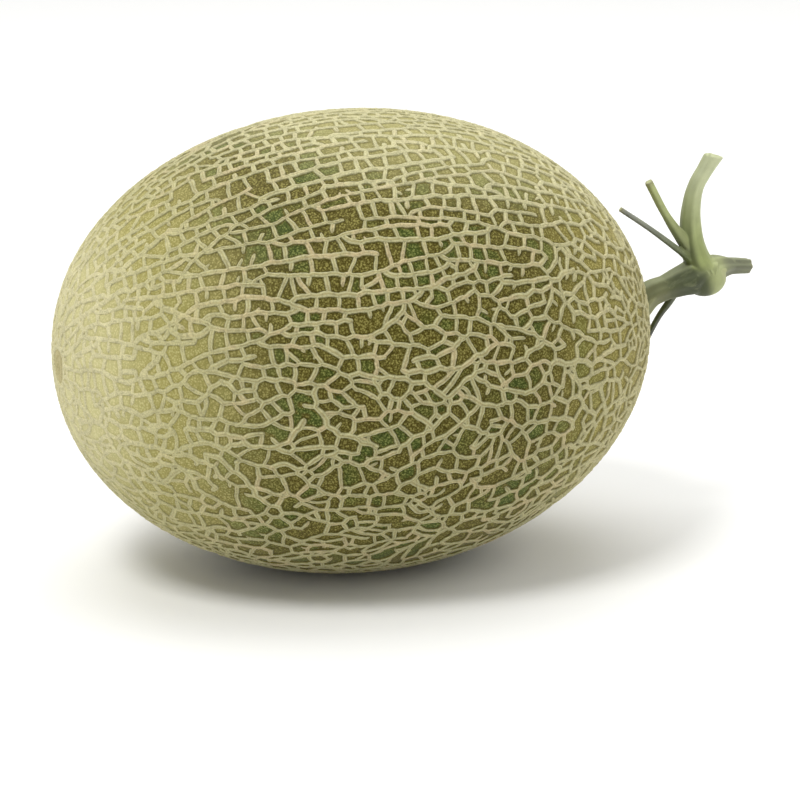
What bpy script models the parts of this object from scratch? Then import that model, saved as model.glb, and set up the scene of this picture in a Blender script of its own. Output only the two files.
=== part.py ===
"""A whole oval netted melon, lying on its side, with a T-shaped piece of its vine on the stem end.

Run it with: blender --background --python part.py
Metres, +Z up. +X points from the blossom end to the stem end. The origin is the middle of the
small flat spot on which the fruit rests.
"""

import math
import random

import bmesh
import bpy
from mathutils import Matrix, Vector, noise

MM = 0.001

# The fruit, measured to the skin between the lines of the net
FRUIT_LENGTH = 211.6 * MM
FRUIT_DIAMETER = 160.0 * MM
BLOSSOM_BLUNTNESS = 2.06  # superellipse exponent of the half towards -X; 2 is a plain ellipse
STEM_BLUNTNESS = 2.0
DIMPLE_DEPTH = 1.6 * MM  # shallow dip round the stalk
DIMPLE_RADIUS = 15.0 * MM
STALK_RISE = 3.0 * MM  # the stalk grows from a little above the middle of the end
LUMP_HEIGHT = 0.5 * MM  # slow unevenness of the whole fruit
LUMP_SIZE = 60.0 * MM

FLAT_SPOT_DEPTH = 0.9 * MM  # how far the spot that it rests on is flattened
FLAT_SPOT_SNAP = 0.3 * MM  # corners this close to the spot's level are moved onto it

# The raised net, about twice life size so that its cells stay within the triangle budget
NET_HEIGHT = 1.1 * MM
RIDGE_HALF_WIDTH = 1.5 * MM
NET_SEED = 17
FIRST_LINES = 8  # lines that run all the way from the stalk to the blossom scar
FIRST_RINGS = 8
COLLAR_RADIUS = 8.6 * MM  # ring of the net round the stalk
SCAR_RADIUS = 7.0 * MM  # ring of the net round the blossom scar
FIRST_JITTER = 7.0 * MM
CELL_LENGTH = 25.2 * MM  # a cell longer than this, along the fruit, cracks once more
CELL_WIDTH = 15.8 * MM  # the same, round the fruit
END_CELL = 18.0 * MM  # cells near the ends are as long as they are wide
SHORTEST_CELL = 0.8  # share of those sizes at which the tightest cells stop cracking
LONGEST_CELL = 1.15
LONG_LINE_BIAS = 2.3  # above 1, cracks run along the fruit before they cross it
CRACK_SHARE = (0.4, 0.6)  # a crack crosses its cell somewhere in this middle part
TILT_ALONG = math.radians(5)
TILT_ACROSS = math.radians(16)
TILT_END = math.radians(32)
SNAP = 2.4 * MM  # a crack that ends this close to a corner ends in it
SHORTEST_LINE = 3.1 * MM  # corners closer together than this are joined
SORTING_AXIS = Vector((1.0, 0.618, 0.272))  # along no symmetry of the fruit
RELAX_ROUNDS = 3
RELAX_SHARE = 0.4
WANDER = 2.2 * MM  # how far a line strays to the side
WANDER_SIZE = 26.0 * MM
WANDER_SEED = 1795621210  # sets the offsets of noise_vector, which come from the clock without a seed
INSET_SHARE = 0.8  # of the width at which the lines of a cell would close over it

# The stalk and vine: each branch is a list of (x, y, height above the fruit's axis, radius) in mm.
# A branch starts inside the one that it grows from, and the stalk inside the fruit.
STALK = [(99.0, 0.0, -2.2, 6.2), (105.4, 0.0, 2.6, 5.6), (111.2, 0.0, 7.2, 4.7), (117.0, 0.0, 9.1, 4.4),
         (122.8, 0.0, 11.0, 5.1), (127.5, 0.0, 12.9, 5.6), (131.7, 0.0, 14.0, 5.4)]
UPPER_VINE = [(132.2, 0.3, 13.2, 5.1), (127.8, -0.4, 21.8, 4.6), (126.1, -0.8, 30.8, 3.9),
              (126.3, -0.8, 39.2, 3.3), (128.0, -0.4, 45.6, 2.9), (131.3, 0.2, 50.7, 2.9),
              (138.6, 1.6, 60.4, 3.6)]
LOWER_VINE = [(131.1, -0.3, 13.7, 5.2), (137.7, 2.0, 14.4, 4.6), (144.3, 4.5, 13.9, 3.0),
              (152.9, 7.5, 12.6, 2.7)]
PETIOLE = [(126.6, -1.0, 21.6, 2.7), (121.2, -2.5, 28.4, 2.1), (114.8, -4.0, 37.1, 1.45),
           (107.4, -5.5, 49.7, 1.45)]
TENDRIL = [(127.6, -1.0, 18.0, 1.9), (121.0, -3.5, 23.0, 1.2), (108.6, -5.0, 32.4, 1.0),
           (96.8, -5.5, 40.6, 0.9)]
SIDE_SHOOT = [(122.4, 1.2, 9.4, 2.0), (121.0, 4.0, 3.5, 1.4), (118.2, 8.0, -3.6, 1.1),
              (114.6, 12.5, -14.9, 1.0)]
STALK_SEAT = 105.6 * MM  # the stalk starts at this x, 0.3 mm off the fruit's collar
VINE_TOP = 56.2 * MM  # height above the axis at which the upper vine was cut level
KNUCKLE = (132.5, 0.3, 11.4)  # middle of the swelling at the node, in the same terms
KNUCKLE_SIZE = (7.0 * MM, 5.5 * MM, 6.0 * MM)
KNUCKLE_SIDES = 12
BRANCH_STEPS = 3
BRANCH_ROUNDNESS = 2
SEAM_WELD = 0.02 * MM

HALF_LENGTH = FRUIT_LENGTH / 2
RADIUS = FRUIT_DIAMETER / 2
AXIS_HEIGHT = RADIUS - FLAT_SPOT_DEPTH

SKIN_GREEN = (0.19, 0.235, 0.085)
VINE_GREEN = (0.33, 0.40, 0.17)


def clear_scene():
    for obj in list(bpy.data.objects):
        bpy.data.objects.remove(obj, do_unlink=True)


def material(name, color, roughness):
    """A Principled BSDF with one colour."""
    made = bpy.data.materials.new(name)
    made.use_nodes = True
    shader = made.node_tree.nodes["Principled BSDF"]
    shader.inputs["Base Color"].default_value = (*color, 1.0)
    shader.inputs["Roughness"].default_value = roughness
    shader.inputs["Metallic"].default_value = 0.0
    return made


def add_object(name, mesh, collection, finish):
    obj = bpy.data.objects.new(name, mesh)
    obj.data.materials.append(finish)
    collection.objects.link(obj)
    return obj


def finished_mesh(name, bm):
    mesh = bpy.data.meshes.new(name)
    bm.to_mesh(mesh)
    bm.free()
    return mesh


def bluntness(point):
    return BLOSSOM_BLUNTNESS if point.x < 0 else STEM_BLUNTNESS


def skin_point(point):
    """The point of the skin in the same direction from the fruit's middle as the given point."""
    power = bluntness(point)
    reach = (abs(point.x) / HALF_LENGTH) ** power + (math.hypot(point.y, point.z) / RADIUS) ** power
    on_form = point * reach ** (-1 / power)
    from_stalk = math.hypot(on_form.y, on_form.z - STALK_RISE) / DIMPLE_RADIUS
    dimple = DIMPLE_DEPTH * math.exp(-from_stalk ** 2) if point.x > 0 else 0.0
    lump = LUMP_HEIGHT * noise.noise(on_form / LUMP_SIZE)
    return on_form + skin_normal(on_form) * (lump - dimple)


def skin_normal(point):
    """The outward normal of the fruit's form at one of its points."""
    power = bluntness(point)
    from_axis = math.hypot(point.y, point.z)
    slope_x = math.copysign(abs(point.x / HALF_LENGTH) ** (power - 1), point.x) / HALF_LENGTH
    slope_r = (from_axis / RADIUS) ** (power - 1) / RADIUS / max(from_axis, 1e-9)
    return Vector((slope_x, slope_r * point.y, slope_r * point.z)).normalized()


def end_share(point):
    """0 round the fruit's waist, 1 near either end."""
    start, full = 0.5, 0.85
    share = (abs(point.x) / HALF_LENGTH - start) / (full - start)
    return min(1.0, max(0.0, share))


def between(waist, end, share):
    return waist + (end - waist) * share


def first_cells(rng):
    """Tall cells in a brick bond between the first long lines, with a round cell on each end."""
    bm = bmesh.new()
    to_x_axis = Matrix.Rotation(math.radians(90), 4, "Y")
    bmesh.ops.create_uvsphere(
        bm, u_segments=FIRST_LINES, v_segments=FIRST_RINGS, radius=1.0, matrix=to_x_axis
    )
    bmesh.ops.scale(bm, vec=(HALF_LENGTH, RADIUS, RADIUS), verts=bm.verts)
    poles = [v for v in bm.verts if abs(v.co.x) > HALF_LENGTH - SNAP]
    bmesh.ops.dissolve_verts(bm, verts=poles)
    caps = [f for f in bm.faces if len(f.verts) == FIRST_LINES]
    bmesh.ops.inset_individual(bm, faces=caps, thickness=SNAP)
    end_verts = {v for f in caps for v in f.verts}
    bricks = [e for e in bm.edges if is_spare_ring_edge(e) and not end_verts.issuperset(e.verts)]
    bmesh.ops.dissolve_edges(bm, edges=bricks)
    for vert in end_verts:
        radius = COLLAR_RADIUS if vert.co.x > 0 else SCAR_RADIUS
        from_axis = math.hypot(vert.co.y, vert.co.z)
        vert.co.yz = vert.co.yz * radius / from_axis
        if vert.co.x > 0:
            vert.co.z += STALK_RISE
    for vert in bm.verts:
        if vert not in end_verts:
            vert.co += FIRST_JITTER * Vector([rng.uniform(-1, 1) for _ in range(3)])
        vert.co = skin_point(vert.co)
    bm.normal_update()
    return bm, caps


def is_spare_ring_edge(edge):
    """True for every second edge of the rings, so that the cells of neighbouring rows are offset."""
    a, b = (v.co for v in edge.verts)
    if abs(a.x - b.x) > SNAP:
        return False
    row = round(math.atan2(a.z + b.z, a.y + b.y) / (2 * math.pi) * FIRST_LINES - 0.5)
    ring = round(math.acos(a.x / HALF_LENGTH) / math.pi * FIRST_RINGS)
    return (row + ring) % 2 == 0


def place_order(point):
    """Sorts cells and corners by place, so that every build treats them in the same order."""
    return point.dot(SORTING_AXIS)


def cell_place(cell):
    return place_order(cell.calc_center_median())


def crack(bm, rng, caps):
    """Splits each cell in two, again and again, as the skin of a swelling melon cracks."""
    open_cells = sorted((f for f in bm.faces if f not in caps), key=cell_place)
    while open_cells:
        cell = open_cells.pop(0)
        plane = next_crack(cell, rng)
        if plane:
            open_cells.extend(split_cell(cell, *plane))


def next_crack(cell, rng):
    """A point and a normal of the next crack across a cell, or None where it is small enough."""
    centre = skin_point(cell.calc_center_median())
    normal = skin_normal(centre)
    along = (Vector((1, 0, 0)) - normal * normal.x).normalized()
    across = normal.cross(along)
    end = end_share(centre)
    offsets = [v.co - centre for v in cell.verts]
    reach_along = [o.dot(along) for o in offsets]
    reach_across = [o.dot(across) for o in offsets]
    too_long = (max(reach_along) - min(reach_along)) / between(CELL_LENGTH, END_CELL, end)
    too_wide = (max(reach_across) - min(reach_across)) / between(CELL_WIDTH, END_CELL, end)
    if max(too_long, too_wide) < rng.uniform(SHORTEST_CELL, LONGEST_CELL):
        return None
    lengthwise = too_wide > 1 and too_wide * between(LONG_LINE_BIAS, 1.0, end) > too_long
    sideways, reach = (across, reach_across) if lengthwise else (along, reach_along)
    tilt = rng.uniform(-1, 1) * between(TILT_ALONG if lengthwise else TILT_ACROSS, TILT_END, end)
    point = centre + sideways * between(min(reach), max(reach), rng.uniform(*CRACK_SHARE))
    return point, Matrix.Rotation(tilt, 3, normal) @ sideways


def split_cell(cell, point, normal):
    """Cracks a cell along a plane and returns its halves, or the cell where the crack is too short."""
    ends = []
    for loop in list(cell.loops):
        before = (loop.vert.co - point).dot(normal)
        after = (loop.link_loop_next.vert.co - point).dot(normal)
        if (before < 0) != (after < 0):
            ends.append(corner_at(loop, before / (before - after)))
    if len(ends) != 2 or ends[0] is ends[1] or any(ends[1] in e.verts for e in ends[0].link_edges):
        return [cell]
    return sorted([cell, bmesh.utils.face_split(cell, *ends)[0]], key=cell_place)


def corner_at(loop, share):
    """The corner at a share of a cell's side: one that is close enough, or else a new one."""
    length = loop.edge.calc_length()
    if share * length < SNAP:
        return loop.vert
    if (1 - share) * length < SNAP:
        return loop.link_loop_next.vert
    corner = bmesh.utils.edge_split(loop.edge, loop.vert, share)[1]
    corner.co = skin_point(corner.co)
    return corner


def relax(bm, fixed):
    """Lets the junctions settle, joins those that are too close and makes the lines wander."""
    bm.verts.sort(key=lambda v: place_order(v.co))
    loose = [v for v in bm.verts if v not in fixed]
    for _ in range(RELAX_ROUNDS):
        bmesh.ops.smooth_vert(
            bm, verts=loose, factor=RELAX_SHARE, use_axis_x=True, use_axis_y=True, use_axis_z=True
        )
        for vert in loose:
            vert.co = skin_point(vert.co)
    bmesh.ops.remove_doubles(bm, verts=loose, dist=SHORTEST_LINE)
    noise.seed_set(WANDER_SEED)
    for vert in (v for v in bm.verts if v not in fixed):
        stray = noise.noise_vector(vert.co / WANDER_SIZE)
        vert.co = skin_point(vert.co + WANDER * stray)


def ridge_half_width(cell):
    """The ridge's half width in this cell: less where its full width would close a short side."""
    width = RIDGE_HALF_WIDTH
    for loop in cell.loops:
        corners = (loop.calc_angle(), loop.link_loop_next.calc_angle())
        closing = sum(1 / math.tan(angle / 2) for angle in corners)
        if closing > 0:
            width = min(width, INSET_SHARE * loop.edge.calc_length() / closing)
    return width


def raise_net(bm, flat_faces):
    """Lifts all lines above the skin, then sinks the floor of each cell between them.

    Where a line would reach lower than the flat spot, it is worn level with it.
    """
    for vert in bm.verts:
        above_spot = vert.co.z + AXIS_HEIGHT
        vert.co += skin_normal(vert.co) * min(NET_HEIGHT, above_spot)
    for cell in [f for f in bm.faces if f not in flat_faces]:
        bmesh.ops.inset_individual(
            bm, faces=[cell], thickness=ridge_half_width(cell), depth=-NET_HEIGHT, use_even_offset=True
        )


def cut_flat_spot(bm):
    """Cuts the fruit level at the height where it rests and returns the one face that closes it."""
    geom = bm.verts[:] + bm.edges[:] + bm.faces[:]
    cut = bmesh.ops.bisect_plane(
        bm, geom=geom, dist=FLAT_SPOT_SNAP, plane_co=(0, 0, -AXIS_HEIGHT), plane_no=(0, 0, -1),
        use_snap_center=True, clear_outer=True,
    )
    corners = [g for g in cut["geom_cut"] if isinstance(g, bmesh.types.BMVert)]
    bmesh.ops.remove_doubles(bm, verts=corners, dist=SHORTEST_LINE)
    rim = [e for e in bm.edges if e.is_boundary]
    return bmesh.ops.edgeloop_fill(bm, edges=rim)["faces"]


def in_fixed_order(bm):
    """The same net, with its corners, its cells and each cell's first corner in order of their place.

    A cell that isn't flat is split into triangles from its first corner, so this settles its surface.
    """
    ordered = bmesh.new()
    bm.verts.sort(key=lambda v: place_order(v.co))
    bm.verts.index_update()
    corners = [ordered.verts.new(v.co) for v in bm.verts]
    for cell in sorted(bm.faces, key=cell_place):
        ring = [v.index for v in cell.verts]
        first = ring.index(min(ring))
        ordered.faces.new([corners[i] for i in ring[first:] + ring[:first]])
    bm.free()
    return ordered


def fruit_mesh():
    rng = random.Random(NET_SEED)
    bm, caps = first_cells(rng)
    stem_cap = [f for f in caps if f.normal.x > 0]
    crack(bm, rng, caps)
    relax(bm, fixed={v for f in caps for v in f.verts})
    flat_spot = cut_flat_spot(bm)
    bmesh.ops.recalc_face_normals(bm, faces=bm.faces)
    raise_net(bm, stem_cap + flat_spot)
    bmesh.ops.translate(bm, vec=(0, 0, AXIS_HEIGHT), verts=bm.verts)
    return finished_mesh("fruit", in_fixed_order(bm))


def branch_point(x, y, height):
    return Vector((x * MM, y * MM, height * MM + AXIS_HEIGHT))


def branch_object(name, branch, collection, finish):
    """A round branch along a smooth curve through its points, cut square at both ends."""
    curve = bpy.data.curves.new(name, "CURVE")
    curve.dimensions = "3D"
    curve.resolution_u = BRANCH_STEPS
    curve.bevel_depth = MM
    curve.bevel_resolution = BRANCH_ROUNDNESS
    curve.use_fill_caps = True
    spline = curve.splines.new("BEZIER")
    spline.bezier_points.add(len(branch) - 1)
    for knot, (x, y, height, radius) in zip(spline.bezier_points, branch):
        knot.co = branch_point(x, y, height)
        knot.radius = radius
        knot.handle_left_type = knot.handle_right_type = "AUTO"
    rod = bpy.data.objects.new(name, curve)
    collection.objects.link(rod)
    graph = bpy.context.evaluated_depsgraph_get()
    mesh = bpy.data.meshes.new_from_object(rod.evaluated_get(graph))
    bpy.data.objects.remove(rod)
    return add_object(name, mesh, collection, finish)


def cut_off(obj, place, outward):
    """Cuts off what stands past a plane and closes the cut with one face."""
    bm = bmesh.new()
    bm.from_mesh(obj.data)
    bmesh.ops.remove_doubles(bm, verts=bm.verts, dist=SEAM_WELD)
    geom = bm.verts[:] + bm.edges[:] + bm.faces[:]
    bmesh.ops.bisect_plane(bm, geom=geom, plane_co=place, plane_no=outward, clear_outer=True)
    rim = [e for e in bm.edges if e.is_boundary]
    bmesh.ops.edgeloop_fill(bm, edges=rim)
    bm.to_mesh(obj.data)
    bm.free()


def knuckle_object(collection, finish):
    bm = bmesh.new()
    bmesh.ops.create_uvsphere(bm, u_segments=KNUCKLE_SIDES, v_segments=KNUCKLE_SIDES // 2, radius=1.0)
    bmesh.ops.scale(bm, vec=KNUCKLE_SIZE, verts=bm.verts)
    bmesh.ops.translate(bm, vec=branch_point(*KNUCKLE), verts=bm.verts)
    return add_object("knuckle", finished_mesh("knuckle", bm), collection, finish)


def stem_object(collection, finish):
    """The stalk, with the swollen node and all branches joined to it by unions."""
    stem = branch_object("stem", STALK, collection, finish)
    cut_off(stem, (STALK_SEAT, 0, 0), (-1, 0, 0))
    upper_vine = branch_object("upper_vine", UPPER_VINE, collection, finish)
    cut_off(upper_vine, (0, 0, VINE_TOP + AXIS_HEIGHT), (0, 0, 1))
    others = [
        knuckle_object(collection, finish),
        upper_vine,
        branch_object("lower_vine", LOWER_VINE, collection, finish),
        branch_object("petiole", PETIOLE, collection, finish),
        branch_object("tendril", TENDRIL, collection, finish),
        branch_object("side_shoot", SIDE_SHOOT, collection, finish),
    ]
    for other in others:
        join = stem.modifiers.new(f"Join {other.name}", "BOOLEAN")
        join.operation = "UNION"
        join.solver = "EXACT"
        join.object = other
    weld = stem.modifiers.new("Weld", "WELD")
    weld.merge_threshold = SEAM_WELD
    graph = bpy.context.evaluated_depsgraph_get()
    joined = bpy.data.meshes.new_from_object(stem.evaluated_get(graph))
    stem.modifiers.clear()
    stem.data = joined
    for other in others:
        bpy.data.objects.remove(other)
    return stem


def build():
    clear_scene()
    collection = bpy.data.collections.new("netted_melon")
    bpy.context.scene.collection.children.link(collection)
    rind = material("melon rind", SKIN_GREEN, 0.55)
    green_vine = material("green vine", VINE_GREEN, 0.6)
    add_object("fruit", fruit_mesh(), collection, rind)
    stem_object(collection, green_vine)


build()
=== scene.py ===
"""The looks of a whole netted melon that lies on its side with a T-shaped piece of its vine.

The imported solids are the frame. The smooth skin, the raised corky net at its true size, the blossom
scar and the vine stand in their place. Metres, +Z up, +X from the blossom end to the stem end.
"""

import logging
import math
import random
from dataclasses import dataclass, field
from enum import Enum

import bpy
import numpy as np
from mathutils import Matrix, Vector, geometry, kdtree, noise

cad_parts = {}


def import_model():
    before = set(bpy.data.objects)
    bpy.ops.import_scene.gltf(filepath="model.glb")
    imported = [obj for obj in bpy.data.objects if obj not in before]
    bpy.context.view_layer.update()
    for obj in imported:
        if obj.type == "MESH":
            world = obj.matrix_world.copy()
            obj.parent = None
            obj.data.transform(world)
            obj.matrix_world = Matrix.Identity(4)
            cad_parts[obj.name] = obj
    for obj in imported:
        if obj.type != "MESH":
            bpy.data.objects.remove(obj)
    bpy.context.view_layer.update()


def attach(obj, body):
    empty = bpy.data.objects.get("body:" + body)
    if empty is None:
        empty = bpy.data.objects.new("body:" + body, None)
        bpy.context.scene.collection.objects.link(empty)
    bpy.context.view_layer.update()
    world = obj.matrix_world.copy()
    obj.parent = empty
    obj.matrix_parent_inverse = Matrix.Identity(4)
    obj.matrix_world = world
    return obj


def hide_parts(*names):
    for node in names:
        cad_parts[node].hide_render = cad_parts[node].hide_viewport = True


MM = 0.001
X_AXIS = Vector((1.0, 0.0, 0.0))
Z_AXIS = Vector((0.0, 0.0, 1.0))
LOG = logging.getLogger("melon")


def hex_colour(code: str) -> tuple[float, float, float, float]:
    """Turns an sRGB hex colour to Blender's linear one.

    Args:
        code: The colour as "#rrggbb".

    Returns:
        Linear red, green, blue and an alpha of 1.
    """
    parts = [int(code[i:i + 2], 16) / 255 for i in (1, 3, 5)]
    linear = [p / 12.92 if p <= 0.04045 else ((p + 0.055) / 1.055) ** 2.4 for p in parts]
    return (*linear, 1.0)


def smooth_share(value: float, start: float, full: float) -> float:
    """Rises smoothly from 0 to 1 as a value goes from one limit to another.

    Args:
        value: The value.
        start: Where the share is 0.
        full: Where it is 1; it may be lower than start.

    Returns:
        The share, from 0 to 1.
    """
    share = min(1.0, max(0.0, (value - start) / (full - start)))
    return share * share * (3 - 2 * share)


def add_node(tree: bpy.types.NodeTree, kind: str, feeds: dict | None = None, **settings) -> bpy.types.Node:
    """Adds a node to a material with its settings and links.

    Args:
        tree: The node tree.
        kind: Blender's name for the kind of node.
        feeds: What goes into its sockets, by name or number: a value, or another node's output.
        settings: The node's own properties.

    Returns:
        The node.
    """
    node = tree.nodes.new(kind)
    for name, value in settings.items():
        setattr(node, name, value)
    for socket, value in (feeds or {}).items():
        if isinstance(value, bpy.types.NodeSocket):
            tree.links.new(value, node.inputs[socket])
        else:
            node.inputs[socket].default_value = value
    return node


def new_material(name: str) -> tuple[bpy.types.Material, bpy.types.NodeTree, bpy.types.Node]:
    """Makes an empty material.

    Args:
        name: Its name.

    Returns:
        The material, its node tree and its Principled BSDF.
    """
    made = bpy.data.materials.new(name)
    made.use_nodes = True
    return made, made.node_tree, made.node_tree.nodes["Principled BSDF"]


def new_piece(name: str, verts: np.ndarray, faces: list, finish: bpy.types.Material) -> bpy.types.Object:
    """Makes an object of points and faces, shaded smooth.

    Args:
        name: The piece's name.
        verts: Its points, in metres.
        faces: The numbers of each face's points.
        finish: Its material.

    Returns:
        The object.
    """
    mesh = bpy.data.meshes.new(name)
    mesh.from_pydata(verts.tolist(), [], faces)
    mesh.materials.append(finish)
    mesh.shade_smooth()
    piece = bpy.data.objects.new(name, mesh)
    bpy.context.scene.collection.objects.link(piece)
    return piece


class Kept(Enum):
    """What a piece keeps for each of its points: Blender's name for it, and where it is set."""

    NUMBER = ("FLOAT", "value")
    PLACE = ("FLOAT_VECTOR", "vector")
    COLOUR = ("FLOAT_COLOR", "color")


def store(piece: bpy.types.Object, name: str, values: list, kept: Kept = Kept.NUMBER) -> None:
    """Keeps a number, place or colour for each point of a piece, for its material to read.

    Args:
        piece: The piece.
        name: The attribute's name.
        values: One value a point.
        kept: What each value is.
    """
    kind, slot = kept.value
    attribute = piece.data.attributes.new(name, kind, "POINT")
    attribute.data.foreach_set(slot, np.asarray(values, np.float32).ravel())


def take_only(piece: bpy.types.Object) -> None:
    """Selects one object and makes it the active one."""
    bpy.ops.object.select_all(action="DESELECT")
    piece.select_set(True)
    bpy.context.view_layer.objects.active = piece


@dataclass(frozen=True)
class FruitForm:
    """The form of the skin between the lines of its net, round the fruit's own middle."""

    length: float = 211.6 * MM
    diameter: float = 160.0 * MM
    blossom_bluntness: float = 2.06
    stem_bluntness: float = 2.0
    dimple_depth: float = 1.6 * MM
    dimple_radius: float = 15.0 * MM
    stalk_rise: float = 3.0 * MM
    lump_height: float = 0.5 * MM
    lump_size: float = 60.0 * MM
    flat_spot_depth: float = 0.9 * MM

    @property
    def half_length(self) -> float:
        """From the middle to either end."""
        return self.length / 2

    @property
    def radius(self) -> float:
        """Half of the thickness."""
        return self.diameter / 2

    @property
    def axis_height(self) -> float:
        """How high the fruit's axis lies over the surface that it rests on."""
        return self.radius - self.flat_spot_depth

    def normal(self, place: Vector) -> Vector:
        """Finds which way is outward.

        Args:
            place: A point of the skin.

        Returns:
            The outward direction there.
        """
        power = self.blossom_bluntness if place.x < 0 else self.stem_bluntness
        from_axis = math.hypot(place.y, place.z)
        slope_x = math.copysign(abs(place.x / self.half_length) ** (power - 1), place.x) / self.half_length
        slope_r = (from_axis / self.radius) ** (power - 1) / self.radius / max(from_axis, 1e-9)
        return Vector((slope_x, slope_r * place.y, slope_r * place.z)).normalized()

    def point(self, towards: Vector) -> Vector:
        """Finds the point of the skin in a direction.

        Args:
            towards: Any point but the middle.

        Returns:
            The point of the skin in line with it.
        """
        power = self.blossom_bluntness if towards.x < 0 else self.stem_bluntness
        from_axis = math.hypot(towards.y, towards.z)
        reach = (abs(towards.x) / self.half_length) ** power + (from_axis / self.radius) ** power
        on_form = towards * reach ** (-1 / power)
        from_stalk = math.hypot(on_form.y, on_form.z - self.stalk_rise) / self.dimple_radius
        dimple = self.dimple_depth * math.exp(-from_stalk ** 2) if towards.x > 0 else 0.0
        lump = self.lump_height * noise.noise(on_form / self.lump_size)
        return on_form + self.normal(on_form) * (lump - dimple)

    def directions(self, place: Vector) -> tuple[Vector, Vector, Vector]:
        """Finds the skin's own directions.

        Args:
            place: A point of the skin.

        Returns:
            Outward, along the fruit towards the stalk, and across, round the fruit.
        """
        normal = self.normal(place)
        along = (X_AXIS - normal * normal.x).normalized()
        return normal, along, normal.cross(along)


class LineKind(Enum):
    """The three kinds of line in the net, in the order in which they crack open."""

    LONG = "long_lines"
    BAR = "cross_bars"
    SPUR = "spurs"


class LineEnd(Enum):
    """How a line looks where it ends."""

    SUNK = "runs into the side of another line"
    THIN = "thins out in the middle of a cell"
    ROUND = "bends into the end of another line"


@dataclass
class CorkLine:
    """One line of the net, which starts and ends free or on a point of an older line."""

    kind: LineKind
    path: list[Vector]
    half_width: float
    tone: float
    starts_on: tuple[int, int] | None = None
    ends_on: tuple[int, int] | None = None
    closed: bool = False
    start: LineEnd = LineEnd.SUNK
    end: LineEnd = LineEnd.SUNK


@dataclass
class NeighbourGrid:
    """Finds points of lines that are near a place, in boxes of space."""

    box_size: float = 2.6 * MM
    boxes: dict[tuple[int, int, int], list[tuple[Vector, int, int]]] = field(default_factory=dict)

    def box_of(self, place: Vector) -> tuple[int, int, int]:
        """Returns the box that holds a place."""
        return tuple(math.floor(c / self.box_size) for c in place)

    def add(self, place: Vector, number: int, point: int) -> None:
        """Adds a point of the line with this number."""
        self.boxes.setdefault(self.box_of(place), []).append((place, number, point))

    def near(self, place: Vector, within: float, skip: int | None = None) -> list[tuple]:
        """Lists the points of lines near a place.

        Args:
            place: The place.
            within: How far to look.
            skip: The number of a line that doesn't count.

        Returns:
            The distance, place, line number and point number of each, the nearest first.
        """
        reach = math.ceil(within / self.box_size)
        middle = self.box_of(place)
        span = range(-reach, reach + 1)
        found = []
        for box in ((middle[0] + i, middle[1] + j, middle[2] + k) for i in span for j in span for k in span):
            for spot, number, point in self.boxes.get(box, ()):
                if number != skip and (spot - place).length <= within:
                    found.append(((spot - place).length, spot, number, point))
        return sorted(found, key=lambda entry: entry[0])


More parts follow.
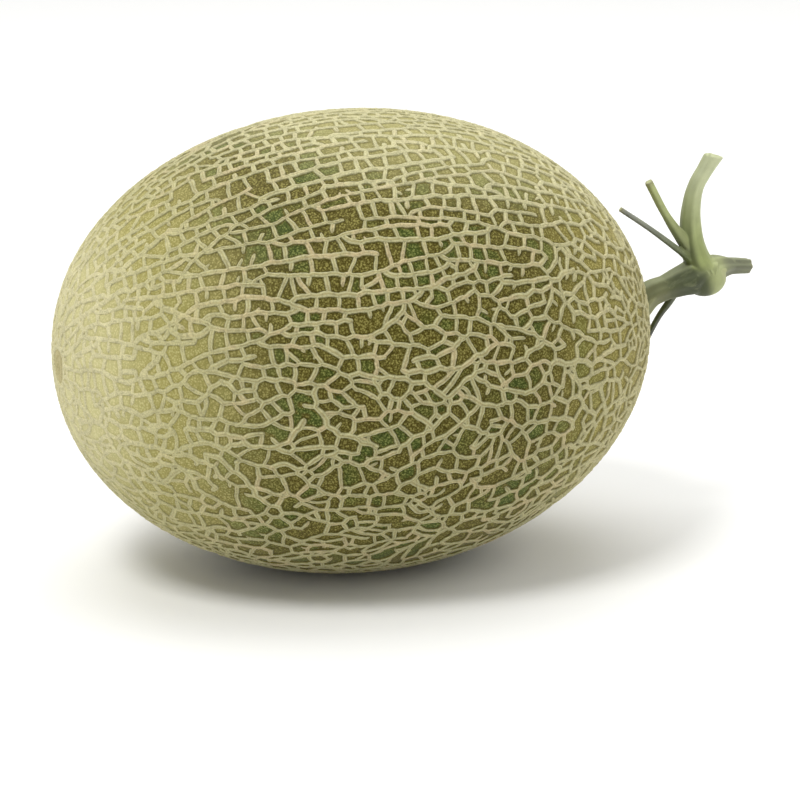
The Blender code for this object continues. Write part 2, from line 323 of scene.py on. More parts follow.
@dataclass
class NetPlan:
    """Grows the lines of the net over the skin, one crack after another."""

    form: FruitForm
    seed: int = 11
    step: float = 1.0 * MM
    line_spacing: float = 5.7 * MM
    bar_tries: tuple[float, float] = (1.2 * MM, 3.2 * MM)
    bar_clearance: tuple[float, float] = (3.6 * MM, 6.2 * MM)
    bar_probe: float = 1.3 * MM
    bar_strip: tuple[float, float] = (0.6 * MM, 2.2 * MM)
    calm_reach: tuple[float, float] = (9.0 * MM, 48.0 * MM)
    wild_reach: tuple[float, float] = (8.0 * MM, 28.0 * MM)
    blossom_reach: tuple[float, float] = (6.0 * MM, 26.0 * MM)
    join_distance: float = 1.2 * MM
    merge_distance: float = 2.7 * MM
    clear_of_parent: float = 2.6 * MM
    level_share: float = 0.3
    level_turn: float = 0.15
    lean_size: float = 24.0 * MM
    wobble_size: float = 6.0 * MM
    wobble: float = 0.62
    collar_radius: float = 8.6 * MM
    scar_radius: float = 7.0 * MM
    short_bar_share: float = 0.24
    spur_spacing: float = 26.0 * MM
    spur_length: tuple[float, float] = (1.6 * MM, 3.8 * MM)
    doubling_share: float = 0.12
    gap_limit: float = 2.95 * MM
    gap_tries: int = 26000
    long_half_width: float = 0.96 * MM
    bar_half_width: float = 0.84 * MM
    spur_half_width: float = 0.64 * MM
    relax_rounds: int = 12
    easing_rounds: int = 2
    trim_points: int = 4
    ripple: float = 0.32 * MM
    ripple_size: float = 4.2 * MM
    lines: list[CorkLine] = field(default_factory=list)
    grid: NeighbourGrid = field(default_factory=NeighbourGrid)

    def blossom_share(self, place: Vector) -> float:
        """Returns 1 at the blossom end, falling to 0 towards the waist."""
        return smooth_share(place.x, -50 * MM, -92 * MM)

    def stem_share(self, place: Vector) -> float:
        """Returns 1 at the stem end, falling to 0 towards the waist."""
        return smooth_share(place.x, 52 * MM, 98 * MM)

    def wildness(self, place: Vector) -> float:
        """Returns 0 high on the fruit, where long lines keep to its length, and 1 where they turn freely."""
        edge = 29 * MM + 0.32 * place.x
        return smooth_share(place.z, edge + 9 * MM, edge - 11 * MM)

    def lean(self, place: Vector) -> float:
        """Returns how far the long lines are turned at a place, in radians."""
        wild = self.wildness(place)
        broad = noise.noise(place / self.lean_size)
        close = noise.noise(place / (0.5 * self.lean_size) + Vector((5, 0, 0)))
        return (0.18 + 0.62 * wild) * broad + 0.5 * wild * close

    def grain(self, place: Vector) -> Vector:
        """Finds the way that the long lines run: along the fruit, and more level round its blossom end."""
        normal = self.form.normal(place)
        lengthwise = X_AXIS - normal * normal.x
        level = Z_AXIS.cross(normal) * max(-1.0, min(1.0, -normal.y / self.level_turn))
        share = self.level_share * smooth_share(place.x, 60 * MM, -20 * MM)
        return (lengthwise * (1 - share) + level * share).normalized()

    def spacing(self, place: Vector) -> float:
        """Returns the distance between long lines at a place."""
        share = 1 - 0.1 * self.blossom_share(place) - 0.16 * self.stem_share(place) + 0.16 * self.wildness(place)
        return self.line_spacing * share * (1 + 0.5 * noise.noise(place / (15 * MM)))

    def top_share(self, place: Vector) -> float:
        """Returns 1 along the top of the fruit, falling to 0 down its sides."""
        return smooth_share(place.z, 50 * MM, 76 * MM)

    def width_share(self, place: Vector) -> float:
        """Returns how wide lines are at a place, as a share of their width at the waist."""
        share = 1 - 0.30 * self.stem_share(place) + 0.08 * self.blossom_share(place)
        return share * (1 + 0.28 * noise.noise(place / (3.5 * MM)))

    def keep(self, line: CorkLine) -> None:
        """Adds a finished line to the net."""
        number = len(self.lines)
        self.lines.append(line)
        for i, place in enumerate(line.path):
            self.grid.add(place, number, i)

    def walk(self, start: Vector, angle: float, reach: float, stop_within: float, bend: float,
             phase: float, parent: int | None = None) -> tuple[list[Vector], tuple[int, int] | None]:
        """Grows a crack over the skin until it meets another line or its reach ends.

        Args:
            start: Where it starts.
            angle: Its angle to the long lines, in radians.
            reach: How far it goes if it meets nothing.
            stop_within: It joins a line that comes this close.
            bend: How much it turns, in radians a metre.
            phase: What sets its own wobble apart from other lines'.
            parent: The number of the line that it starts on, if any.

        Returns:
            Its path, and the line and point that it ended on, if any.
        """
        path = [start]
        place = start
        grain = self.grain(start)
        travelled = 0.0
        while travelled < reach:
            here = self.grain(place)
            grain = here if here.dot(grain) > 0 else -here
            across = self.form.normal(place).cross(grain)
            wobble = self.wobble * (0.6 + self.wildness(place))
            wobble *= noise.noise(Vector((travelled / self.wobble_size, phase, 0)))
            turn = angle + self.lean(place) + bend * travelled + wobble
            heading = grain * math.cos(turn) + across * math.sin(turn)
            place = self.form.point(place + heading * self.step)
            travelled += self.step
            skip = parent if travelled < self.clear_of_parent else None
            near = self.grid.near(place, stop_within, skip)
            if near:
                ahead = [n for n in near if (n[1] - path[-1]).dot(heading) > 0] or near
                path += self.link(path[-1], ahead[0][1])
                return path, ahead[0][2:]
            path.append(place)
        return path, None

    def link(self, start: Vector, goal: Vector) -> list[Vector]:
        """Goes the last way to a line.

        Args:
            start: Where the crack is.
            goal: The point of the line.

        Returns:
            The points after the start.
        """
        count = max(1, round((goal - start).length / self.step))
        inner = [self.form.point(start.lerp(goal, i / count)) for i in range(1, count)]
        return [*inner, goal]

    def ring(self, centre: Vector, radius: float) -> None:
        """Lays a closed line round an end of the fruit.

        Args:
            centre: The middle of the ring.
            radius: Its radius.
        """
        count = round(2 * math.pi * radius / self.step)
        path = []
        for i in range(count + 1):
            angle = 2 * math.pi * i / count
            wobble = 1 + 0.05 * math.sin(3 * angle + 1.0)
            sideways = Vector((0, math.cos(angle), math.sin(angle))) * radius * wobble
            path.append(self.form.point(centre + sideways))
        self.keep(CorkLine(LineKind.LONG, path, self.long_half_width, 0.5, closed=True))

    def grow_long_lines(self, rng: random.Random) -> None:
        """Grows evenly spaced long lines, each beside an earlier one."""
        self.grow_long_line(self.form.point(Vector((0.01, -0.05, 0.06))), rng)
        number = 2
        while number < len(self.lines):
            path = self.lines[number].path
            for place in path[2::4]:
                for side in (1, -1):
                    across = self.form.normal(place).cross(self.grain(place))
                    gap = self.spacing(place)
                    offset = gap * rng.uniform(0.8, 1.25)
                    seed = self.form.point(place + across * side * offset)
                    if not self.inside_rings(seed) and not self.grid.near(seed, gap * 0.7):
                        self.grow_long_line(seed, rng)
            number += 1

    def grow_long_line(self, seed: Vector, rng: random.Random) -> None:
        """Grows one long line both ways.

        Args:
            seed: A point on it.
            rng: The random draws.
        """
        wild = self.wildness(seed)
        blossom = self.blossom_share(seed)
        angle = rng.gauss(0, 0.05 + 0.3 * wild * (1 - blossom) + 0.2 * blossom)
        bend = rng.gauss(0, 5 + 26 * wild)
        merge = self.merge_distance * rng.choice((0.75, 0.95, 1.1))
        phase = rng.uniform(0, 100)
        reach = []
        for calm, free, near_blossom in zip(self.calm_reach, self.wild_reach, self.blossom_reach):
            waist = calm + (free - calm) * wild
            reach.append(waist + (near_blossom - waist) * blossom)
        ahead, on_ahead = self.walk(seed, angle, rng.uniform(*reach), merge, bend, phase)
        back, on_back = self.walk(seed, angle + math.pi, rng.uniform(*reach), merge, bend, phase + 50)
        path = [*reversed(back[1:]), *ahead]
        half_width = self.long_half_width * rng.uniform(0.8, 1.14)
        if len(path) > 4:
            self.keep(CorkLine(LineKind.LONG, path, half_width, rng.random(), on_back, on_ahead))

    def grow_bars(self, rng: random.Random) -> None:
        """Grows the bars that cross from each long line to the next."""
        for number in range(len(self.lines)):
            path = self.lines[number].path
            for side in rng.sample((1, -1), 2):
                place_at = rng.uniform(*self.bar_tries)
                while place_at < (len(path) - 1) * self.step:
                    self.grow_bar(number, int(place_at / self.step), side, rng)
                    place_at += rng.uniform(*self.bar_tries)

    def grow_bar(self, parent: int, point: int, side: int, rng: random.Random) -> None:
        """Grows one bar from a long line, unless another bar is near or it would grow inside a ring.

        Args:
            parent: The number of the long line.
            point: Which of its points the bar starts on.
            side: 1 for the line's left side and -1 for its right.
            rng: The random draws.
        """
        path = self.lines[parent].path
        start = path[point]
        ahead = (path[min(point + 2, len(path) - 1)] - path[max(point - 2, 0)]).normalized()
        aside = self.form.normal(start).cross(ahead) * side
        probe = start + aside * self.bar_probe
        if self.inside_rings(probe):
            return
        clearance = rng.uniform(*self.bar_clearance)
        clearance *= 1 - 0.15 * self.blossom_share(start) - 0.16 * self.stem_share(start)
        around = self.grid.near(probe, clearance, parent)
        low, high = self.bar_strip
        if any(self.lines[number].kind is LineKind.BAR and low < (spot - start).dot(aside) < high
               for _, spot, number, _ in around):
            return
        grain = self.grain(start)
        across = self.form.normal(start).cross(grain)
        angle = math.atan2(aside.dot(across), aside.dot(grain)) - self.lean(start)
        wild = self.wildness(start)
        tilt = rng.gauss(0, 0.16 + 0.2 * wild)
        bend = rng.gauss(0, 30 + 45 * wild)
        short = rng.random() < self.short_bar_share
        reach = self.spacing(start) * (rng.uniform(0.4, 0.75) if short else 2.0)
        bar, on = self.walk(start, angle + tilt, reach, self.join_distance, bend, rng.uniform(0, 100), parent)
        half_width = self.bar_half_width * rng.uniform(0.8, 1.14)
        if len(bar) > 2:
            self.keep(CorkLine(LineKind.BAR, bar, half_width, rng.random(), (parent, point), on))

    def fill_gaps(self, rng: random.Random) -> None:
        """Cracks the cells that are still too wide, straight across from their nearest line."""
        for _ in range(self.gap_tries):
            direction = Vector([rng.gauss(0, 1) for _ in range(3)])
            place = self.form.point(Vector((direction.x * self.form.length / self.form.diameter,
                                            direction.y, direction.z)))
            limit = self.gap_limit * (1 - 0.12 * self.blossom_share(place) - 0.26 * self.stem_share(place))
            if self.inside_rings(place) or self.grid.near(place, limit * rng.uniform(0.9, 1.3)):
                continue
            around = self.grid.near(place, 3 * self.gap_limit)
            if around:
                self.crack_cell(place, around[0][1] - place, rng)

    def crack_cell(self, place: Vector, towards: Vector, rng: random.Random) -> None:
        """Grows a line both ways from the middle of a cell.

        Args:
            place: The middle.
            towards: The way to the nearest line.
            rng: The random draws.
        """
        grain = self.grain(place)
        across = self.form.normal(place).cross(grain)
        angle = math.atan2(towards.dot(across), towards.dot(grain)) - self.lean(place) + rng.gauss(0, 0.3)
        bend = rng.gauss(0, 45)
        reach = 2.4 * self.gap_limit
        ahead, on_ahead = self.walk(place, angle, reach, self.join_distance, bend, rng.uniform(0, 100))
        back, on_back = self.walk(place, angle + math.pi, reach, self.join_distance, bend, rng.uniform(0, 100))
        path = [*reversed(back[1:]), *ahead]
        half_width = self.bar_half_width * rng.uniform(0.76, 1.05)
        self.keep(CorkLine(LineKind.BAR, path, half_width, rng.random(), on_back, on_ahead))

    def inside_rings(self, place: Vector) -> bool:
        """Returns True inside the collar or the blossom scar."""
        if place.x > 0:
            return math.hypot(place.y, place.z - self.form.stalk_rise) < self.collar_radius
        return math.hypot(place.y, place.z) < self.scar_radius

    def grow_spurs(self, rng: random.Random) -> None:
        """Grows short spurs that end in the middle of a cell."""
        for number in range(len(self.lines)):
            path = self.lines[number].path
            place_at = rng.uniform(0, 2 * self.spur_spacing)
            while place_at < (len(path) - 2) * self.step:
                point = max(1, int(place_at / self.step))
                grain = self.grain(path[point])
                across = self.form.normal(path[point]).cross(grain)
                ahead = path[point + 1] - path[point - 1]
                along = math.atan2(ahead.dot(across), ahead.dot(grain)) - self.lean(path[point])
                doubles = rng.random() < self.doubling_share
                off = rng.uniform(0.35, 0.7) if doubles else math.pi / 2 + rng.gauss(0, 0.4)
                angle = along + rng.choice((1, -1)) * off
                reach = rng.uniform(*self.spur_length) * (2.4 if doubles else 1)
                spur, on = self.walk(path[point], angle, reach, 1.5 * MM, rng.gauss(0, 90),
                                     rng.uniform(0, 100), number)
                tone = rng.random()
                if len(spur) > 2 and not on and not self.inside_rings(spur[-1]):
                    self.keep(CorkLine(LineKind.SPUR, spur, self.spur_half_width, tone, (number, point)))
                place_at += rng.uniform(0.4, 1.6) * self.spur_spacing

    def relax(self) -> None:
        """Pulls the lines taut, so that the three arms of a joint draw even, as on skin that grows."""
        numbers = []
        places = []
        held = []
        for line in self.lines:
            joints = {0: line.starts_on, len(line.path) - 1: line.ends_on}
            own = []
            for i, place in enumerate(line.path):
                joint = joints.get(i)
                if joint:
                    own.append(numbers[joint[0]][joint[1]])
                    continue
                own.append(len(places))
                places.append(place)
                held.append(line.closed or i in joints)
            numbers.append(own)
        pairs = np.array([pair for own in numbers for pair in zip(own, own[1:])])
        spots = np.array(places)
        is_held = np.array(held)[:, None]
        pulls = np.bincount(pairs.ravel(), minlength=len(spots))[:, None]
        give = np.array([0.1 + 0.4 * self.wildness(place) for place in places])[:, None]
        easing = np.where(pulls == 2, 0.5, 0.0)
        for give in [give] * self.relax_rounds + [easing] * self.easing_rounds:
            total = np.zeros_like(spots)
            np.add.at(total, pairs[:, 0], spots[pairs[:, 1]])
            np.add.at(total, pairs[:, 1], spots[pairs[:, 0]])
            spots = np.where(is_held, spots, spots + (total / pulls - spots) * give)
        placed = [self.rippled(Vector(spot)) for spot in spots]
        for line, own in zip(self.lines, numbers):
            if not (line.closed or line.starts_on):
                line.start, own = self.trim(own, pulls)
            if not (line.closed or line.ends_on):
                line.end, own = self.trim(own[::-1], pulls)
                own = own[::-1]
            line.path = [placed[number] for number in own]

    def trim(self, own: list[int], pulls: np.ndarray) -> tuple[LineEnd, list[int]]:
        """Cuts a line back to the first line that joins it close to its free end.

        Args:
            own: The numbers of the line's points, from that end.
            pulls: How many stretches of line meet at each point.

        Returns:
            How the line ends, and the numbers that are left.
        """
        for i in range(min(self.trim_points, len(own) - 2)):
            if pulls[own[i], 0] > (1 if i == 0 else 2):
                return LineEnd.ROUND, own[i:]
        return LineEnd.THIN, own

    def rippled(self, place: Vector) -> Vector:
        """Returns a point of the skin, moved a little aside."""
        return self.form.point(place + noise.noise_vector(place / self.ripple_size) * self.ripple)

    def grow(self) -> None:
        """Grows the whole net."""
        rng = random.Random(self.seed)
        # Without a seed, noise_vector takes its offsets from the clock
        noise.seed_set(self.seed)
        self.ring(Vector((self.form.half_length, 0, self.form.stalk_rise)), self.collar_radius)
        self.ring(Vector((-self.form.half_length, 0, 0)), self.scar_radius)
        self.grow_long_lines(rng)
        self.grow_bars(rng)
        self.fill_gaps(rng)
        self.grow_spurs(rng)
        self.relax()


@dataclass
class CorkNet:
    """The raised lines, each a bead of cork with two lips and a fissure between them."""

    plan: NetPlan
    finish: bpy.types.Material
    height: dict[LineKind, float] = field(
        default_factory=lambda: {LineKind.LONG: 0.74 * MM, LineKind.BAR: 0.66 * MM, LineKind.SPUR: 0.52 * MM}
    )
    # Across from side to side: share of the half width, share of the height, and depth below the skin
    section: tuple = (
        (-1.1, 0.0, 0.22 * MM), (-0.82, 0.56, 0.0), (-0.46, 1.0, 0.0), (0.0, 0.86, 0.0),
        (0.46, 1.0, 0.0), (0.82, 0.56, 0.0), (1.1, 0.0, 0.22 * MM),
    )
    # Beyond a round end: share of the half width that it stands past the end, and share of its size
    round_end: tuple = ((0.5, 0.87), (0.9, 0.42))
    free_end: float = 1.7 * MM
    least_width: float = 0.4
    dive_reach: float = 1.25 * MM
    blossom_height_share: float = 0.55
    top_height_share: float = 0.7
    unevenness: float = 0.22 * MM
    unevenness_size: float = 1.3 * MM

    def build(self) -> list[bpy.types.Object]:
        """Builds two pieces for each kind of line, one on each half of the fruit.

        Returns:
            The pieces.
        """
        older = kdtree.KDTree(sum(len(line.path) for line in self.plan.lines))
        owners = []
        for number, line in enumerate(self.plan.lines):
            for place in line.path:
                older.insert(place, len(owners))
                owners.append(number)
        older.balance()
        pieces = []
        for kind in LineKind:
            for half, towards_stem in (("blossom_half", False), ("stem_half", True)):
                chosen = [number for number, line in enumerate(self.plan.lines)
                          if line.kind is kind and (line.path[len(line.path) // 2].x > 0) is towards_stem]
                pieces.append(self.build_piece(f"{kind.value}_{half}", chosen, older, owners))
        return pieces

    def build_piece(self, name: str, chosen: list[int], older: kdtree.KDTree,
                    owners: list[int]) -> bpy.types.Object:
        """Builds some of the lines as one piece.

        Args:
            name: The piece's name.
            chosen: The numbers of the lines.
            older: Every point of every line.
            owners: The number of the line that each of those points is on.

        Returns:
            The piece.
        """
        verts, faces, across, along, tone = [], [], [], [], []
        sides = len(self.section)
        for number in chosen:
            line = self.plan.lines[number]
            base = len(verts)
            stations = self.stations(line)
            verts += self.line_points(line, stations, number, older, owners)
            count = len(stations)
            for i in range(count - 1):
                for j in range(sides):
                    a, b = base + i * sides + j, base + i * sides + (j + 1) % sides
                    faces.append((a, b, b + sides, a + sides))
            faces.append(tuple(base + j for j in reversed(range(sides))))
            faces.append(tuple(base + (count - 1) * sides + j for j in range(sides)))
            across += [part[0] for part in self.section] * count
            along += [i * self.plan.step for i in range(count) for _ in range(sides)]
            tone += [line.tone] * (count * sides)
        piece = new_piece(name, np.array(verts), faces, self.finish)
        store(piece, "across", across)
        store(piece, "along", along)
        store(piece, "tone", tone)
        return piece

    def stations(self, line: CorkLine) -> list[tuple[Vector, Vector, float, float]]:
        """Lists where the section stands along a line.

        Args:
            line: The line.

        Returns:
            For each, its place, the way ahead, and its shares of the full width and height.
        """
        path = line.path
        stations = []
        for i, place in enumerate(path):
            ahead = (path[min(i + 1, len(path) - 1)] - path[max(i - 1, 0)]).normalized()
            share = self.end_share(line, i)
            stations.append((place, ahead, self.least_width + (1 - self.least_width) * share, share))
        beyond = [(past * line.half_width, share) for past, share in self.round_end]
        if line.start is LineEnd.ROUND:
            place, ahead, *_ = stations[0]
            stations = [(place - ahead * past, ahead, share, share)
                        for past, share in reversed(beyond)] + stations
        if line.end is LineEnd.ROUND:
            place, ahead, *_ = stations[-1]
            stations += [(place + ahead * past, ahead, share, share) for past, share in beyond]
        return stations

    def line_points(self, line: CorkLine, stations: list, number: int, older: kdtree.KDTree,
                    owners: list[int]) -> list:
        """Sweeps the section along a line.

        Args:
            line: The line.
            stations: Where the section stands along it.
            number: Its number.
            older: Every point of every line.
            owners: The number of the line that each of those points is on.

        Returns:
            The points, one section after another.
        """
        form = self.plan.form
        lift = Vector((0, 0, form.axis_height))
        points = []
        for place, ahead, width_share, height_share in stations:
            normal = form.normal(place)
            side = ahead.cross(normal).normalized()
            half_width = line.half_width * self.plan.width_share(place) * width_share
            flat = 1 - (1 - self.blossom_height_share) * self.plan.blossom_share(place)
            flat *= 1 - (1 - self.top_height_share) * self.plan.top_share(place)
            height = self.height[line.kind] * height_share * flat * self.dive(place, number, older, owners)
            for offset, rise, sunk in self.section:
                point = place + side * (offset * half_width) + normal * (rise * height - sunk)
                point += noise.noise_vector(point / self.unevenness_size) * self.unevenness
                point += lift
                point.z = max(point.z, 0.0)
                points.append(point)
        return points

    def end_share(self, line: CorkLine, i: int) -> float:
        """Returns the share of its full size that a line has at one of its points, less near a free end."""
        reach = self.free_end / self.plan.step
        from_start = i / reach if line.start is LineEnd.THIN else 1.0
        from_end = (len(line.path) - 1 - i) / reach if line.end is LineEnd.THIN else 1.0
        share = min(1.0, from_start, from_end)
        return math.sqrt(max(0.0, 1 - (1 - share) ** 2))

    def dive(self, place: Vector, number: int, older: kdtree.KDTree, owners: list[int]) -> float:
        """Returns the share of its height that a line has here, less where it runs into an older one."""
        for _, index, distance in older.find_range(place, self.dive_reach):
            if owners[index] < number:
                return 0.7 + 0.3 * smooth_share(distance, 0.3 * MM, self.dive_reach)
        return 1.0


@dataclass
class Rind:
    """The smooth skin under the net."""

    plan: NetPlan
    finish: bpy.types.Material
    cuts: tuple = (11, 9)
    spot_clearance: float = 0.3 * MM

    def build(self) -> bpy.types.Object:
        """Shapes a sphere to the fruit's form.

        Returns:
            The piece.
        """
        form = self.plan.form
        bpy.ops.mesh.primitive_cube_add(size=math.pi / 2)
        rind = bpy.context.active_object
        rind.name = rind.data.name = "rind"
        bpy.ops.object.mode_set(mode="EDIT")
        for cuts in self.cuts:
            bpy.ops.mesh.subdivide(number_cuts=cuts)
        bpy.ops.object.mode_set(mode="OBJECT")
        stretch = Vector((form.half_length, form.radius, form.radius))
        lift = Vector((0, 0, form.axis_height))
        for vert in rind.data.vertices:
            towards = Vector([math.tan(c) for c in vert.co])
            place = form.point(towards.normalized() * stretch) + lift
            place.z = max(place.z, self.spot_clearance)
            vert.co = place
        bpy.ops.object.shade_smooth()
        rind.data.materials.append(self.finish)
        self.measure_cells(rind)
        return rind

    def measure_cells(self, rind: bpy.types.Object) -> None:
        """Stores how far each point is from the nearest line, and a tone for each cell."""
        lift = Vector((0, 0, self.plan.form.axis_height))
        lines = self.plan.lines
        tree = kdtree.KDTree(sum(len(line.path) for line in lines))
        spots = []
        for line in lines:
            for i, place in enumerate(line.path):
                ahead = line.path[min(i + 1, len(line.path) - 1)] - line.path[max(i - 1, 0)]
                tree.insert(place, len(spots))
                spots.append((ahead.normalized(), line.half_width))
        tree.balance()
        gaps = []
        for vert in rind.data.vertices:
            place = vert.co - lift
            nearest, index, _ = tree.find(place)
            ahead, half_width = spots[index]
            offset = place - nearest
            slip = offset.dot(ahead)
            sideways = math.sqrt(max(0.0, offset.length_squared - slip * slip))
            beyond = max(0.0, abs(slip) - self.plan.step / 2)
            gaps.append(math.hypot(sideways, beyond) - half_width)
        store(rind, "gap", np.array(gaps))
        store(rind, "cell_tone", self.cell_tones(rind, gaps))

    def cell_tones(self, rind: bpy.types.Object, gaps: list[float]) -> list[float]:
        """Gives all points of a cell one tone.

        Args:
            rind: The skin.
            gaps: How far each of its points is from the nearest line.

        Returns:
            A tone from 0 to 1 for each point.
        """
        rng = random.Random(self.plan.seed)
        neighbours = [[] for _ in gaps]
        for edge in rind.data.edges:
            a, b = edge.vertices
            neighbours[a].append(b)
            neighbours[b].append(a)
        tones = [0.5] * len(gaps)
        seen = [gap <= 0 for gap in gaps]
        for start in range(len(gaps)):
            if seen[start]:
                continue
            seen[start] = True
            tone = rng.random()
            queue = [start]
            while queue:
                here = queue.pop()
                tones[here] = tone
                for other in neighbours[here]:
                    if not seen[other]:
                        seen[other] = True
                        queue.append(other)
        return tones


@dataclass
class BlossomScar:
    """The corky disc that the flower left, low and cracked, with the stub of its style in the middle."""

    form: FruitForm
    finish: bpy.types.Material
    radius: float = 6.7 * MM
    depth: float = 0.8 * MM
    spokes: int = 96
    inset: float = 0.42 * MM
    circles: int = 15
    rise: float = 0.26 * MM
    groove: float = 0.24 * MM
    waviness: float = 0.2
    stub_radius: float = 1.1 * MM
    stub_height: float = 0.25 * MM

    def build(self) -> bpy.types.Object:
        """Cuts circles into a thin disc and lays it on the blossom end.

        Returns:
            The piece.
        """
        bpy.ops.mesh.primitive_cylinder_add(vertices=self.spokes, radius=self.radius, depth=self.depth,
                                            location=(-self.depth / 2, 0, 0),
                                            rotation=(0, math.radians(-90), 0))
        scar = bpy.context.active_object
        scar.name = scar.data.name = "blossom_scar"
        bpy.ops.object.transform_apply()
        bpy.ops.object.mode_set(mode="EDIT")
        bpy.ops.mesh.select_all(action="DESELECT")
        bpy.ops.object.mode_set(mode="OBJECT")
        for face in scar.data.polygons:
            face.select = face.normal.x < -0.9
        bpy.ops.object.mode_set(mode="EDIT")
        for _ in range(self.circles):
            bpy.ops.mesh.inset(thickness=self.inset)
        bpy.ops.mesh.poke()
        bpy.ops.object.mode_set(mode="OBJECT")
        bpy.ops.object.shade_smooth()
        scar.data.materials.append(self.finish)
        across = []
        for vert in scar.data.vertices:
            outer = vert.co.x < -self.depth / 2
            vert.co, lip = self.laid(vert.co, outer)
            across.append(lip)
        store(scar, "across", across)
        return scar

    def laid(self, place: Vector, outer: bool) -> tuple[Vector, float]:
        """Lays a point of the disc on the fruit.

        Args:
            place: The point on the flat disc.
            outer: Whether it is on the disc's outer face.

        Returns:
            Its place on the fruit, and how much it belongs to a crack (0) or a crest (0.5).
        """
        from_middle = math.hypot(place.y, place.z)
        around = math.atan2(place.z, place.y)
        outward = Vector((math.cos(around), math.sin(around), 0))
        wave = 1 + self.waviness * noise.noise(outward * 1.7 + Vector((3, 0, 0)))
        on_skin = self.form.point(Vector((-self.form.half_length, place.y * wave, place.z * wave)))
        normal = self.form.normal(on_skin)
        lift = Vector((0, 0, self.form.axis_height))
        if not outer:
            return on_skin - normal * self.depth + lift, 0.5
        crack = noise.noise(outward * 4.5 + Vector((0, 0, from_middle / (2.4 * MM))))
        crumb = noise.noise(Vector((place.y, place.z, 0)) / (0.8 * MM))
        circle = math.sin(from_middle / (0.55 * MM) + 2.5 * crack)
        crest = smooth_share(circle + 1.5 * crack + 1.3 * crumb, -0.8, 0.9)
        edge = smooth_share(from_middle, self.radius, self.radius - 0.9 * MM)
        stub = smooth_share(from_middle, self.stub_radius, 0.5 * self.stub_radius) * self.stub_height
        height = -0.4 * MM * (1 - edge) + self.rise * edge - self.groove * (1 - crest) + stub
        return on_skin + normal * height + lift, 0.5 * crest


